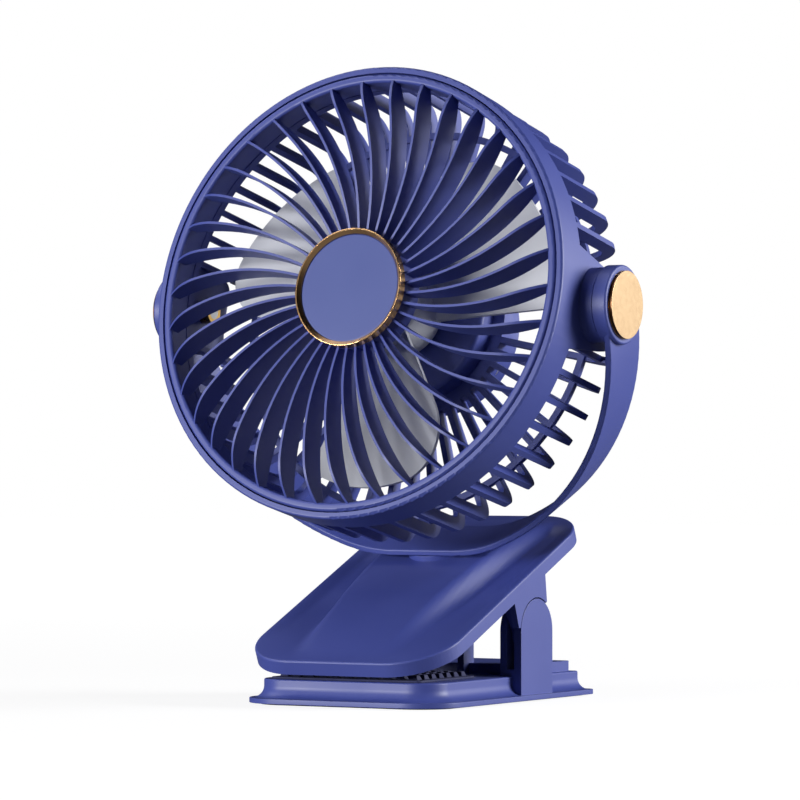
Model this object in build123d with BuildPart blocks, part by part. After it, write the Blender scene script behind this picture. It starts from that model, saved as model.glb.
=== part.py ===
from build123d import *
import os
from math import acos, asin, cos, degrees, hypot, radians, sin, sqrt, tan

os.makedirs("parts", exist_ok=True)

# A clip-on desk fan: a sprung clip, a swivelling yoke and a tilting fan head. Millimetres.
# Origin at the middle of the underside, +X to the fan's right, +Y to its rear, +Z up.

# Fits and clearances
running_fit = 0.05  # radial, between a shaft and the bore that it turns in
push_fit = 0.02  # radial, between pieces pushed together for good
seat_gap = 0.3  # between faces that move past each other

# Base, the lower jaw of the clip
base_width = 80.0
base_length = 112.0
base_front_radius = 16.0
base_rear_radius = 4.5
base_wall = 2.0
foot_proud = 0.5  # how far the anti-slip pad stands below the flange
flange_thickness = 1.7
plateau_height = 8.6
skirt_inset = 5.0
skirt_cove = 4.0
plateau_round = 0.6
anti_slip_thickness = 1.5
anti_slip_inset = 3.5
cavity_inset = 8.0
block_half_width = 33.5
block_rear = 47.5
block_height = 12.2
block_round = 1.0

# Hinge posts of the base, each a clevis around a lug of the upper jaw
hinge_y = 14.3
hinge_height = 23.6
post_radius = 11.2
post_outer = 38.6  # from the middle plane to a post's outer face
post_outer_wall = 2.8
post_inner_wall = 2.6
lug_thickness = 2.2
slot_floor_height = 11.0
pin_radius = 2.0
pin_end_wall = 1.2

# Cradle in the middle of the base, which carries the spring's arbor
arbor_radius = 2.0
arbor_end_wall = 0.8
cradle_inner = 9.5  # from the middle plane to the cradle's inner face
cradle_thickness = 2.5
cradle_radius = 3.6

# Grip pads between the jaws
grip_half_width = 29.0
grip_plate = 0.8
grip_rear_y = -11.0
grip_front_margin = 2.0  # from the plateau's front edge
tooth_pitch = 5.0
tooth_size = 3.4
tooth_height = 1.6
tooth_taper = 22.0

# Upper jaw, in its own plane: v runs up the slope from the hinge, w stands square to it
jaw_slope = 23.25
jaw_rise = 20.3  # from the hinge axis to the rim's top plane
jaw_front = -68.8
jaw_rear = 51.0
jaw_front_radius = 20.0
jaw_rear_radius = 17.0
jaw_depth = 5.0
jaw_wall = 2.2
jaw_edge_round = 0.7
crown_height = 5.1
crown_front = -62.5
crown_rear = 46.5
crown_half_width = 30.2
crown_front_radius = 14.0
crown_rear_radius = 9.0
crown_flank_angle = 36.0
crown_round = 2.5
crown_sunk = 1.0  # the crown starts this far below the rim's plane
ear_gap = 0.4  # the thin line between a post's arch and the jaw's ear
ear_front_v = -10.5
ear_rear_v = 13.8
ear_tip_reach = 12.7
ear_tip_rise = 1.6
ear_heel_reach = 7.2
ear_heel_rise = 10.1
lug_radius = 8.0
upper_grip_front_v = -62.0
upper_grip_rear_v = -30.0

# Torsion spring round its arbor, in line with the hinge
wire_radius = 0.8
coil_radius = 5.2
coil_pitch = 2.2
coil_turns = 6
lower_leg_fall = 12.0  # degrees below level
upper_leg_climb = 50.0  # degrees above level
leg_gap = 0.15

# Swivel neck, square to the crown where it stands
neck_v = 11.4
neck_lean = 21.4
neck_length = 2.4  # visible, between the crown and the yoke
neck_seat = 1.0  # how deep the collar is let into the crown
collar_radius = 10.8
neck_boss_radius = 12.8
neck_boss_depth = 6.0
stem_radius = 5.0
stem_washer_radius = 8.0
stem_washer_thickness = 1.0
stem_screw_radius = 1.5
stem_screw_length = 8.0
stem_screw_head_radius = 3.4
stem_screw_head = 2.0
drive_slot_length = 4.8
drive_slot_width = 1.0

# Yoke
yoke_drop = 86.0  # from the tilt axis to the flat foot of the yoke
yoke_half_span = 87.2
yoke_foot_half = 19.0
yoke_foot_blend = 50.0
yoke_thickness = 2.2
yoke_width = 22.6
yoke_edge_round = 0.6
yoke_end_radius = 13.2
yoke_end_thickness = 5.0
yoke_end_proud = 1.0  # the round end stands this far out of the arm
yoke_end_round = 0.8
cap_radius = 11.3
cap_seat = 1.1
cap_proud = 1.3
cap_round = 0.6

# Tilt pivots
pivot_shank_radius = 2.5
pivot_head_radius = 5.0
pivot_head_thickness = 1.5
pivot_head_room = 2.1
insert_radius = 4.0
insert_length = 8.0
insert_sink = 3.1  # from the boss's outer face to the insert
pivot_boss_radius = 12.5
washer_radius = 9.0
washer_thickness = 0.3
washer_gap = 0.3

# Fan head: radii about the fan axis, and forward places from the parting line of the rim
head_tilt = 12.56  # degrees the fan looks up
pivot_depth = 24.8  # the tilt axis lies this far behind the parting line
drum_radius = 78.0
drum_wall = 2.2
drum_front = 0.5
drum_back = -12.8
drum_lip_round = 0.9
ledge_radius = 73.0
ledge_front = -8.5
ledge_back = -10.0
cheek_back = -39.0
cheek_front_half = 17.5
cheek_back_half = 12.5
cheek_round = 5.0

# Front grille
parting_gap = 0.4
rim_inner_radius = 72.4
rim_front = 0.8
rim_round = 1.1
rib_count = 38
rib_thickness = 0.85
rib_arc_radius = 82.0
rib_start_angle = -3.95
rib_hub_front = 1.9
rib_quarter_radius = 42.0
rib_quarter_front = 5.1
rib_top_radius = 61.0
rib_top_front = 5.8
rib_rim_front = -1.2
rib_rim_back = -3.6
rib_mid_radius = 47.0
rib_mid_back = -4.7
rib_hub_back = -3.4
hub_radius = 20.3
hub_front = 2.6
hub_back = 0.3
hub_skirt_back = -7.0
hub_skirt_wall = 2.0
trim_wall = 1.7
trim_front = 5.8
trim_round = 0.3
trim_bevel = 1.1  # sloping inside of the bezel, down to the badge
badge_front = 4.3
badge_round = 0.4

# Rear grille
cage_radius = 77.4
cage_flange_inner = 72.8
cage_flange_proud = 0.6  # behind the drum's rear edge
cage_back = -48.0
cage_corner = 8.0
fin_radial = 4.6
fin_thickness = 2.0
fin_pitch = 7.5  # degrees
fins_each_side = 22
hoop_width = 2.2
hoop_radial = 2.2
rear_hoop_radius = 66.0
cage_hub_radius = 33.3

# Motor pod
pod_radius = 29.0
pod_wall = 1.8
pod_front = -35.5
pod_back = -61.0
pod_flange_thickness = 1.8
pod_screw_count = 3
pod_screw_radius = 1.0
pod_screw_head_radius = 1.8
pod_screw_head = 1.2
pod_screw_length = 4.0
cover_thickness = 2.0
cover_dome = 1.2
cover_spigot = 2.5
cover_spigot_wall = 1.4

# Motor and impeller
shaft_radius = 1.5
shaft_front = -12.5
motor_radius = 14.0
motor_length = 12.0
motor_wall = 0.9
motor_end_wall = 1.4
bearing_radius = 3.5
rotor_radius = 11.5
rotor_gap = 0.8
impeller_tip_radius = 62.0
impeller_hub_radius = 15.0
impeller_front = -14.5
impeller_back = -33.0
impeller_hub_round = 3.0
impeller_hub_wall = 2.0
blade_count = 3
blade_behind = 9.0  # from the back of the hub to the middle of a blade
blade_start_angle = 33.0
blade_thickness = 1.6
blade_root_chord = 22.0
blade_root_pitch = 38.0
blade_tip_chord = 96.0
blade_tip_pitch = 14.0
blade_root_half = 9.0
blade_edge_half_angle = 31.0
blade_lead_radius = 17.0
blade_trail_radius = 8.0
nut_radius = 4.0
nut_front = -11.5
nut_round = 0.8

# Electronics in the pod
cell_width = 38.0
cell_height = 26.0
cell_thickness = 5.4
cell_round = 1.6
board_width = 40.0
board_height = 28.0
board_thickness = 1.2
board_corner = 3.0
inner_gap = 0.3
socket_width = 8.94
socket_height = 3.26
socket_wall = 0.32
socket_floor = 0.8
socket_tongue_width = 6.7
socket_tongue_thickness = 0.7
socket_tongue_length = 4.6
socket_drop = 12.0  # below the fan axis
socket_slot_gap = 0.2
button_radius = 6.0
button_proud = 1.2
button_travel = 1.0
button_flange_radius = 7.4
button_flange = 1.0
button_stem_radius = 2.0
button_rise = 6.0  # above the fan axis
button_round = 0.5
lens_radius = 1.2
lens_side = 14.0
lens_flange_radius = 2.0
lens_flange = 0.8

# Places that follow from the sizes above
right = Vector(1, 0, 0)
flange_top = foot_proud + flange_thickness
base_half_width = base_width / 2
base_half_length = base_length / 2
hinge_point = Vector(0, hinge_y, hinge_height)
jaw_normal = Vector(0, -sin(radians(jaw_slope)), cos(radians(jaw_slope)))
jaw_plane = Plane(origin=hinge_point + jaw_normal * jaw_rise, x_dir=right, z_dir=jaw_normal)
slot_width = lug_thickness + 2 * seat_gap
slot_outer = post_outer - post_outer_wall
slot_inner = slot_outer - slot_width
post_inner = slot_inner - post_inner_wall
pin_outer = post_outer - pin_end_wall
arbor_half_length = cradle_inner + cradle_thickness - arbor_end_wall

# The crown is an arc over its length, so its height at the neck follows from the chord
crown_chord_half = (crown_rear - crown_front) / 2
crown_mid_v = (crown_rear + crown_front) / 2
crown_arc_radius = (crown_chord_half**2 + crown_height**2) / (2 * crown_height)


def crown_at(v):
    """Height of the crown over the rim's plane at a place up the slope."""
    return crown_height - crown_arc_radius + sqrt(crown_arc_radius**2 - (v - crown_mid_v) ** 2)


def jaw_point(v, w):
    """A point of the upper jaw in the middle plane, as (Y, Z)."""
    point = jaw_plane.from_local_coords(Vector(0, v, w))
    return (point.Y, point.Z)


neck_up = Vector(0, -sin(radians(neck_lean)), cos(radians(neck_lean)))
neck_foot = jaw_plane.from_local_coords(Vector(0, neck_v, crown_at(neck_v)))
pivot = neck_foot + neck_up * (neck_length + yoke_drop)
neck_plane = Plane(origin=neck_foot, x_dir=right, z_dir=neck_up)
yoke_plane = Plane(origin=pivot, x_dir=right, z_dir=right.cross(neck_up))
yoke_end_face = yoke_half_span + yoke_end_proud
yoke_end_inner = yoke_end_face - yoke_end_thickness
boss_outer = yoke_end_inner - washer_thickness - washer_gap
insert_outer_x = boss_outer - insert_sink
insert_inner_x = insert_outer_x - insert_length

fan_forward = Vector(0, -cos(radians(head_tilt)), sin(radians(head_tilt)))
rim_centre = pivot + fan_forward * pivot_depth
rim_plane = Plane(origin=rim_centre, x_dir=right, z_dir=fan_forward)
side_plane = Plane(origin=rim_centre, x_dir=fan_forward, z_dir=right)
fan_axis = Axis(rim_centre, fan_forward)
drum_bore = drum_radius - drum_wall
rim_outer_radius = drum_bore - parting_gap
motor_front = pod_front - pod_wall
motor_back = motor_front - motor_length
cell_front = motor_back - inner_gap
board_front = cell_front - cell_thickness - inner_gap
board_back = board_front - board_thickness
cover_back = pod_back - cover_thickness


def keep(piece, name):
    """Label a finished piece and write it to its own file."""
    piece.part.label = name
    export_step(piece.part, f"parts/{name}.step")


def plate_outline(half_width, front, rear, front_radius, rear_radius):
    """A plate seen from above, with one corner radius in front and one at the rear."""
    with BuildSketch(Plane.XY, mode=Mode.PRIVATE) as outline:
        with Locations((0, (front + rear) / 2)):
            Rectangle(2 * half_width, rear - front)
        fillet(outline.vertices().group_by(Axis.Y)[0], front_radius)
        fillet(outline.vertices().group_by(Axis.Y)[-1], rear_radius)
    return outline.sketch


def base_outline(inset):
    return plate_outline(
        base_half_width - inset,
        inset - base_half_length,
        base_half_length - inset,
        max(base_front_radius - inset, plateau_round),
        max(base_rear_radius - inset, plateau_round),
    )


def jaw_outline(inset):
    return plate_outline(
        post_outer - inset,
        jaw_front + inset,
        jaw_rear - inset,
        jaw_front_radius - inset,
        jaw_rear_radius - inset,
    )


def crown_solid(inset):
    """The raised middle of the upper jaw: sloping flanks under a long flat arc."""
    plan = plate_outline(
        crown_half_width - inset,
        crown_front + inset,
        crown_rear - inset,
        crown_front_radius,
        crown_rear_radius,
    )
    with BuildPart(mode=Mode.PRIVATE) as crown:
        with BuildSketch(jaw_plane.offset(-crown_sunk - inset)):
            add(plan)
        extrude(amount=crown_sunk + crown_height + inset, taper=crown_flank_angle)
        with BuildSketch(Plane(origin=jaw_plane.origin, x_dir=jaw_plane.y_dir, z_dir=right)):
            with BuildLine():
                low = -crown_sunk - 2 * inset
                arc = ThreePointArc(
                    (crown_front, -inset),
                    (crown_mid_v, crown_height - inset),
                    (crown_rear, -inset),
                )
                Polyline(arc @ 1, (crown_rear, low), (crown_front, low), arc @ 0)
            make_face()
        extrude(amount=crown_half_width, both=True, mode=Mode.INTERSECT)
        crown_top = crown.faces().sort_by(Axis(jaw_plane.origin, jaw_normal))[-1]
        fillet(crown_top.edges(), crown_round)
    return crown.part


# Base shell: flange, coved skirt, plateau, rear block and the two hinge posts
with BuildPart() as base_shell:
    with BuildSketch(Plane.XY.offset(foot_proud)):
        add(base_outline(0))
    extrude(amount=flange_thickness)
    with BuildSketch(Plane.XY.offset(flange_top)):
        add(base_outline(skirt_inset))
    extrude(amount=plateau_height - flange_top)
    plateau_edges = base_shell.edges().group_by(Axis.Z)[-1]
    cove_edges = [
        edge
        for edge in base_shell.edges().filter_by_position(Axis.Z, flange_top, flange_top)
        if edge.bounding_box().max.X < base_half_width - skirt_inset / 2
        and edge.bounding_box().min.X > skirt_inset / 2 - base_half_width
        and edge.bounding_box().max.Y < base_half_length - skirt_inset / 2
        and edge.bounding_box().min.Y > skirt_inset / 2 - base_half_length
    ]
    fillet(plateau_edges, plateau_round)
    fillet(cove_edges, skirt_cove)
    with BuildSketch(Plane.XY.offset(plateau_height - base_wall)):
        with Locations((0, (hinge_y + block_rear) / 2)):
            RectangleRounded(2 * block_half_width, block_rear - hinge_y, block_round)
    extrude(amount=block_height - plateau_height + base_wall)
    for side in (-1, 1):
        with BuildSketch(Plane.YZ.offset(side * post_outer)):
            with Locations((hinge_y, hinge_height)):
                Circle(post_radius)
            with Locations((hinge_y, (flange_top + hinge_height) / 2)):
                Rectangle(2 * post_radius, hinge_height - flange_top)
        extrude(amount=-side * (post_outer - post_inner))
        with BuildSketch(Plane.XY.offset(slot_floor_height)):
            with Locations((side * (slot_outer + slot_inner) / 2, hinge_y)):
                Rectangle(slot_width, 2 * post_radius + 2 * seat_gap)
        extrude(amount=2 * hinge_height, mode=Mode.SUBTRACT)
    for side in (-1, 1):
        with BuildSketch(Plane.YZ.offset(side * post_inner)):
            with Locations((hinge_y, hinge_height)):
                Circle(pin_radius + push_fit)
        extrude(amount=side * (pin_outer - post_inner), mode=Mode.SUBTRACT)
        with BuildSketch(Plane.YZ.offset(side * cradle_inner)):
            with Locations((hinge_y, hinge_height)):
                Circle(cradle_radius)
            with Locations((hinge_y, (plateau_height - base_wall + hinge_height) / 2)):
                Rectangle(2 * cradle_radius, hinge_height - plateau_height + base_wall)
        extrude(amount=side * cradle_thickness)
        with BuildSketch(Plane.YZ.offset(side * cradle_inner)):
            with Locations((hinge_y, hinge_height)):
                Circle(arbor_radius + push_fit)
        extrude(amount=side * (arbor_half_length - cradle_inner), mode=Mode.SUBTRACT)
    with BuildSketch(Plane.XY.offset(foot_proud)):
        add(base_outline(anti_slip_inset))
    extrude(amount=anti_slip_thickness - foot_proud, mode=Mode.SUBTRACT)
    with BuildSketch(Plane.XY.offset(anti_slip_thickness)):
        add(base_outline(cavity_inset))
    extrude(amount=plateau_height - base_wall - anti_slip_thickness, mode=Mode.SUBTRACT)
keep(base_shell, "base_shell")

# Anti-slip pad let into the underside, the face that the fan stands on
with BuildPart() as anti_slip_pad:
    with BuildSketch():
        add(base_outline(anti_slip_inset + push_fit))
    extrude(amount=anti_slip_thickness)
keep(anti_slip_pad, "anti_slip_pad")


def toothed_pad(plane, half_width, front, rear):
    """A soft grip pad: a thin plate with rows of blunt square teeth on its face."""
    columns = int(2 * half_width // tooth_pitch)
    rows = int((rear - front) // tooth_pitch)
    middle = (front + rear) / 2
    with BuildPart() as pad:
        with BuildSketch(plane):
            with Locations((0, middle)):
                RectangleRounded(2 * half_width, rear - front, tooth_size / 2)
        extrude(amount=grip_plate)
        with BuildSketch(plane.offset(grip_plate)):
            with Locations((0, middle)):
                with GridLocations(tooth_pitch, tooth_pitch, columns, rows):
                    Rectangle(tooth_size, tooth_size)
        extrude(amount=tooth_height, taper=tooth_taper)
    return pad


# Lower grip pad on the front of the plateau
grip_front_y = skirt_inset + grip_front_margin - base_half_length
lower_grip_pad = toothed_pad(
    Plane.XY.offset(plateau_height), grip_half_width, grip_front_y, grip_rear_y
)
keep(lower_grip_pad, "lower_grip_pad")

# Hinge pins, one in the blind bore of each post, and the arbor that the spring sits round
for side, hand in ((-1, "left"), (1, "right")):
    with BuildPart() as hinge_pin:
        with BuildSketch(Plane.YZ.offset(side * post_inner)):
            with Locations((hinge_y, hinge_height)):
                Circle(pin_radius)
        extrude(amount=side * (pin_outer - push_fit - post_inner))
    keep(hinge_pin, f"hinge_pin_{hand}")

with BuildPart() as spring_arbor:
    with BuildSketch(Plane.YZ.offset(push_fit - arbor_half_length)):
        with Locations((hinge_y, hinge_height)):
            Circle(arbor_radius)
    extrude(amount=2 * (arbor_half_length - push_fit))
keep(spring_arbor, "spring_arbor")


# Torsion spring: a lower leg on the rear block, the coil round the arbor and an upper leg
# under the jaw. The coil turns clockwise seen from the right as it runs from left to right.
def coil_point(angle, x):
    """A point of the coil's centre line, by its angle in degrees from +Y towards +Z."""
    turn = radians(angle)
    return hinge_point + Vector(x, coil_radius * cos(turn), coil_radius * sin(turn))


def coil_tangent(angle):
    rise_angle = radians(angle)
    rise = coil_pitch / 360 * degrees(1)
    return Vector(rise, coil_radius * sin(rise_angle), -coil_radius * cos(rise_angle)).normalized()


def biarc(start, start_direction, end, end_direction):
    """Two arcs, tangent to each other and to both ends, in space."""
    span = end - start
    sum_direction = start_direction + end_direction
    spread = 2 * (1 - start_direction.dot(end_direction))
    along = span.dot(sum_direction)
    reach = (sqrt(along**2 + spread * span.dot(span)) - along) / spread
    near = start + start_direction * reach
    far = end - end_direction * reach
    middle = (near + far) * 0.5
    first = Edge.make_tangent_arc(start, start_direction, middle)
    second = Edge.make_tangent_arc(middle, far - near, end)
    return [first, second]


lower_leg_angle = -90.0 - lower_leg_fall
upper_leg_angle = 90.0 + upper_leg_climb
coil_sweep = 360.0 * coil_turns + lower_leg_angle + 360.0 - upper_leg_angle
quarter_count = round(coil_sweep / 90)
coil_half_length = coil_pitch * coil_sweep / 360 / 2
coil_angles = [lower_leg_angle - coil_sweep * i / quarter_count for i in range(quarter_count + 1)]
coil_places = [
    -coil_half_length + 2 * coil_half_length * i / quarter_count for i in range(quarter_count + 1)
]
coil_edges = []
for i in range(quarter_count):
    coil_edges += biarc(
        coil_point(coil_angles[i], coil_places[i]),
        coil_tangent(coil_angles[i]),
        coil_point(coil_angles[i + 1], coil_places[i + 1]),
        coil_tangent(coil_angles[i + 1]),
    )
coil_start = coil_edges[0] @ 0
coil_end = coil_edges[-1] @ 1
lower_direction = coil_tangent(coil_angles[0])
upper_direction = coil_tangent(coil_angles[-1])
lower_leg_height = block_height + wire_radius + leg_gap
lower_leg_length = (coil_start.Z - lower_leg_height) / lower_direction.Z
upper_leg_room = jaw_rise - jaw_wall - wire_radius - leg_gap
upper_leg_height = (coil_end - hinge_point).dot(jaw_normal)
upper_leg_length = (upper_leg_room - upper_leg_height) / upper_direction.dot(jaw_normal)
lower_leg = Edge.make_line(coil_start - lower_direction * lower_leg_length, coil_start)
upper_leg = Edge.make_line(coil_end, coil_end + upper_direction * upper_leg_length)
spring_path = Wire([lower_leg] + coil_edges + [upper_leg])
with BuildPart() as torsion_spring:
    with BuildSketch(Plane(origin=lower_leg @ 0, z_dir=lower_direction)):
        Circle(wire_radius)
    sweep(path=spring_path)
keep(torsion_spring, "torsion_spring")

# Least gap between the spring's turns, measured on points of its centre line
gap_samples = 24
gap_points = [edge @ (k / gap_samples) for edge in coil_edges for k in range(gap_samples)]
half_turn = 4 * gap_samples
gap_least = min(
    (gap_points[i] - gap_points[j]).length
    for i in range(0, len(gap_points), 6)
    for j in range(i + half_turn, min(i + 3 * half_turn, len(gap_points)), 3)
)
print(f"torsion spring: least gap between turns {gap_least - 2 * wire_radius:.2f} mm")

# Upper jaw: a rimmed plate with a crowned middle, ears flush with the posts and hinge lugs
with BuildPart() as upper_jaw:
    with BuildSketch(jaw_plane.offset(-jaw_depth)):
        add(jaw_outline(0))
    extrude(amount=jaw_depth)
    fillet(upper_jaw.faces().sort_by(Axis(jaw_plane.origin, jaw_normal))[-1].edges(), jaw_edge_round)
    add(crown_solid(0))
    with BuildSketch(jaw_plane.offset(-jaw_depth)):
        add(jaw_outline(jaw_wall))
    extrude(amount=jaw_depth - jaw_wall, mode=Mode.SUBTRACT)
    add(crown_solid(jaw_wall), mode=Mode.SUBTRACT)
    with BuildSketch(neck_plane.offset(-neck_boss_depth)):
        Circle(neck_boss_radius)
    extrude(amount=neck_boss_depth - neck_seat)
    for side in (-1, 1):
        with BuildSketch(Plane.YZ.offset(side * post_outer)):
            ear_front = jaw_point(ear_front_v, -jaw_depth / 2)
            ear_rear = jaw_point(ear_rear_v, -jaw_depth / 2)
            ear_tip = (hinge_y - ear_tip_reach, hinge_height + ear_tip_rise)
            ear_heel = (hinge_y + ear_heel_reach, hinge_height + ear_heel_rise)
            with BuildLine():
                Polyline(ear_front, ear_tip, (hinge_y, ear_tip[1]), ear_heel, ear_rear, close=True)
            make_face()
            with Locations((hinge_y, hinge_height)):
                Circle(post_radius + ear_gap, mode=Mode.SUBTRACT)
        extrude(amount=-side * (post_outer_wall - seat_gap))
        with BuildSketch(Plane.YZ.offset(side * (slot_outer - seat_gap))):
            lug_front = jaw_point(ear_front_v, -jaw_wall / 2)
            lug_rear = jaw_point(ear_rear_v, -jaw_wall / 2)
            with BuildLine():
                Polyline(
                    lug_front,
                    (hinge_y - lug_radius, hinge_height),
                    (hinge_y + lug_radius, hinge_height),
                    lug_rear,
                    close=True,
                )
            make_face()
            with Locations((hinge_y, hinge_height)):
                Circle(lug_radius)
                Circle(pin_radius + running_fit, mode=Mode.SUBTRACT)
        extrude(amount=-side * lug_thickness)
    with BuildSketch(neck_plane.offset(-neck_seat)):
        Circle(collar_radius + push_fit)
    extrude(amount=2 * neck_seat, mode=Mode.SUBTRACT)
    with BuildSketch(neck_plane.offset(-neck_boss_depth)):
        Circle(stem_radius + running_fit)
    extrude(amount=neck_boss_depth, mode=Mode.SUBTRACT)
keep(upper_jaw, "upper_jaw")

# Upper grip pad under the front of the upper jaw, its teeth pointing down
under_jaw = Plane(
    origin=jaw_plane.from_local_coords(Vector(0, 0, -jaw_wall)), x_dir=-right, z_dir=-jaw_normal
)
upper_grip_pad = toothed_pad(under_jaw, grip_half_width, upper_grip_front_v, upper_grip_rear_v)
keep(upper_grip_pad, "upper_grip_pad")

# Swivel collar let into the crown, the low round neck under the yoke
with BuildPart() as swivel_collar:
    with BuildSketch(neck_plane.offset(-neck_seat)):
        Circle(collar_radius)
        Circle(stem_radius + running_fit, mode=Mode.SUBTRACT)
    extrude(amount=neck_seat + neck_length - seat_gap)
keep(swivel_collar, "swivel_collar")


# Yoke: a band from pivot to pivot under the head, on a stem that turns in the neck
def yoke_outline(inset):
    """The band's edge seen from the front: a flat foot and an arc up each side."""
    half_span = yoke_half_span - inset
    drop = yoke_drop - inset
    arc_radius = ((half_span - yoke_foot_half) ** 2 + drop**2) / (2 * (half_span - yoke_foot_half))
    centre = half_span - arc_radius
    half_angle = asin(drop / arc_radius) / 2
    middle = (centre + arc_radius * cos(half_angle), -arc_radius * sin(half_angle))
    return half_span, drop, middle


with BuildPart() as yoke_band:
    with BuildSketch(yoke_plane) as band_face:
        with BuildLine():
            outer_span, outer_drop, outer_middle = yoke_outline(0)
            inner_span, inner_drop, inner_middle = yoke_outline(yoke_thickness)
            ThreePointArc((outer_span, 0), outer_middle, (yoke_foot_half, -outer_drop))
            Line((yoke_foot_half, -outer_drop), (-yoke_foot_half, -outer_drop))
            ThreePointArc(
                (-yoke_foot_half, -outer_drop), (-outer_middle[0], outer_middle[1]), (-outer_span, 0)
            )
            Line((-outer_span, 0), (-inner_span, 0))
            ThreePointArc(
                (-inner_span, 0), (-inner_middle[0], inner_middle[1]), (-yoke_foot_half, -inner_drop)
            )
            Line((-yoke_foot_half, -inner_drop), (yoke_foot_half, -inner_drop))
            ThreePointArc((yoke_foot_half, -inner_drop), inner_middle, (inner_span, 0))
            Line((inner_span, 0), (outer_span, 0))
        make_face()
        fillet([corner for corner in band_face.vertices() if corner.Y < -yoke_drop / 2], yoke_foot_blend)
    extrude(amount=yoke_width / 2, both=True)
    band_edges = yoke_band.faces().filter_by(yoke_plane).edges()
    fillet([edge for edge in band_edges if edge.length > 2 * yoke_thickness], yoke_edge_round)
    with BuildSketch(neck_plane.offset(-neck_boss_depth - seat_gap)):
        Circle(stem_radius)
    extrude(amount=neck_boss_depth + seat_gap + neck_length + yoke_thickness / 2)
    with BuildSketch(neck_plane.offset(-neck_boss_depth - seat_gap)):
        Circle(stem_screw_radius + push_fit)
    extrude(amount=stem_screw_length, mode=Mode.SUBTRACT)
    for side in (-1, 1):
        end_plane = Plane(origin=pivot + right * (side * yoke_end_inner), z_dir=right * side)
        with BuildSketch(end_plane):
            Circle(yoke_end_radius)
        extrude(amount=yoke_end_thickness)
        fillet(yoke_band.faces().sort_by(Axis.X)[-1 if side > 0 else 0].edges(), yoke_end_round)
        with BuildSketch(end_plane.offset(yoke_end_thickness - cap_seat)):
            Circle(cap_radius + push_fit)
        extrude(amount=cap_seat, mode=Mode.SUBTRACT)
        with BuildSketch(end_plane.offset(yoke_end_thickness - cap_seat - pivot_head_room)):
            Circle(pivot_head_radius + seat_gap)
        extrude(amount=pivot_head_room, mode=Mode.SUBTRACT)
        with BuildSketch(end_plane):
            Circle(pivot_shank_radius + running_fit)
        extrude(amount=yoke_end_thickness, mode=Mode.SUBTRACT)
keep(yoke_band, "yoke_band")

# Washer and screw that hold the yoke's stem in the jaw from below
stem_end = -neck_boss_depth - seat_gap
with BuildPart() as swivel_washer:
    with BuildSketch(neck_plane.offset(stem_end - stem_washer_thickness)):
        Circle(stem_washer_radius)
        Circle(stem_screw_radius + push_fit, mode=Mode.SUBTRACT)
    extrude(amount=stem_washer_thickness)
keep(swivel_washer, "swivel_washer")

with BuildPart() as swivel_screw:
    with BuildSketch(neck_plane.offset(stem_end - stem_washer_thickness - stem_screw_head)):
        Circle(stem_screw_head_radius)
    extrude(amount=stem_screw_head)
    with BuildSketch(neck_plane.offset(stem_end - stem_washer_thickness)):
        Circle(stem_screw_radius)
    extrude(amount=stem_washer_thickness + stem_screw_length - seat_gap)
    with BuildSketch(neck_plane.offset(stem_end - stem_washer_thickness - stem_screw_head)):
        SlotOverall(drive_slot_length, drive_slot_width)
        SlotOverall(drive_slot_length, drive_slot_width, rotation=90)
    extrude(amount=stem_screw_head / 2, mode=Mode.SUBTRACT)
keep(swivel_screw, "swivel_screw")

# Tilt pivots, one set on each side
for side, hand in ((-1, "left"), (1, "right")):
    outward = right * side
    cap_floor = yoke_end_face - cap_seat
    with BuildPart() as pivot_cap:
        with BuildSketch(Plane(origin=pivot + outward * cap_floor, z_dir=outward)):
            Circle(cap_radius)
        extrude(amount=cap_seat + cap_proud)
        fillet(pivot_cap.edges().group_by(Axis.X)[-1 if side > 0 else 0], cap_round)
    keep(pivot_cap, f"pivot_cap_{hand}")

    head_floor = cap_floor - pivot_head_room + (pivot_head_room - pivot_head_thickness) / 2
    with BuildPart() as pivot_screw:
        with BuildSketch(Plane(origin=pivot + outward * insert_inner_x, z_dir=outward)):
            Circle(pivot_shank_radius)
        extrude(amount=head_floor - insert_inner_x)
        with BuildSketch(Plane(origin=pivot + outward * head_floor, z_dir=outward)):
            Circle(pivot_head_radius)
        extrude(amount=pivot_head_thickness)
        with BuildSketch(Plane(origin=pivot + outward * (head_floor + pivot_head_thickness), z_dir=outward)):
            RegularPolygon(pivot_head_radius / 2, 6)
        extrude(amount=-pivot_head_thickness / 2, mode=Mode.SUBTRACT)
    keep(pivot_screw, f"pivot_screw_{hand}")

    with BuildPart() as pivot_insert:
        with BuildSketch(Plane(origin=pivot + outward * insert_inner_x, z_dir=outward)):
            Circle(insert_radius)
            Circle(pivot_shank_radius + push_fit, mode=Mode.SUBTRACT)
        extrude(amount=insert_length)
    keep(pivot_insert, f"pivot_insert_{hand}")

    with BuildPart() as friction_washer:
        with BuildSketch(Plane(origin=pivot + outward * boss_outer, z_dir=outward)):
            Circle(washer_radius)
            Circle(pivot_shank_radius + push_fit, mode=Mode.SUBTRACT)
        extrude(amount=washer_thickness)
    keep(friction_washer, f"friction_washer_{hand}")

# Drum band: the round casing, with a cheek and a pivot boss on each side
with BuildPart() as drum_cheeks:
    with BuildSketch(rim_plane.offset(cheek_back)):
        Circle(drum_radius)
    extrude(amount=drum_back - cheek_back + drum_wall)
    with BuildSketch(side_plane) as cheek_face:
        with BuildLine():
            Polyline(
                (drum_back + 2 * drum_wall, cheek_front_half),
                (drum_back, cheek_front_half),
                (cheek_back, cheek_back_half),
                (cheek_back, -cheek_back_half),
                (drum_back, -cheek_front_half),
                (drum_back + 2 * drum_wall, -cheek_front_half),
                close=True,
            )
        make_face()
        fillet(cheek_face.vertices().group_by(Axis.X)[0], cheek_round)
    extrude(amount=drum_radius, both=True, mode=Mode.INTERSECT)

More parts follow.
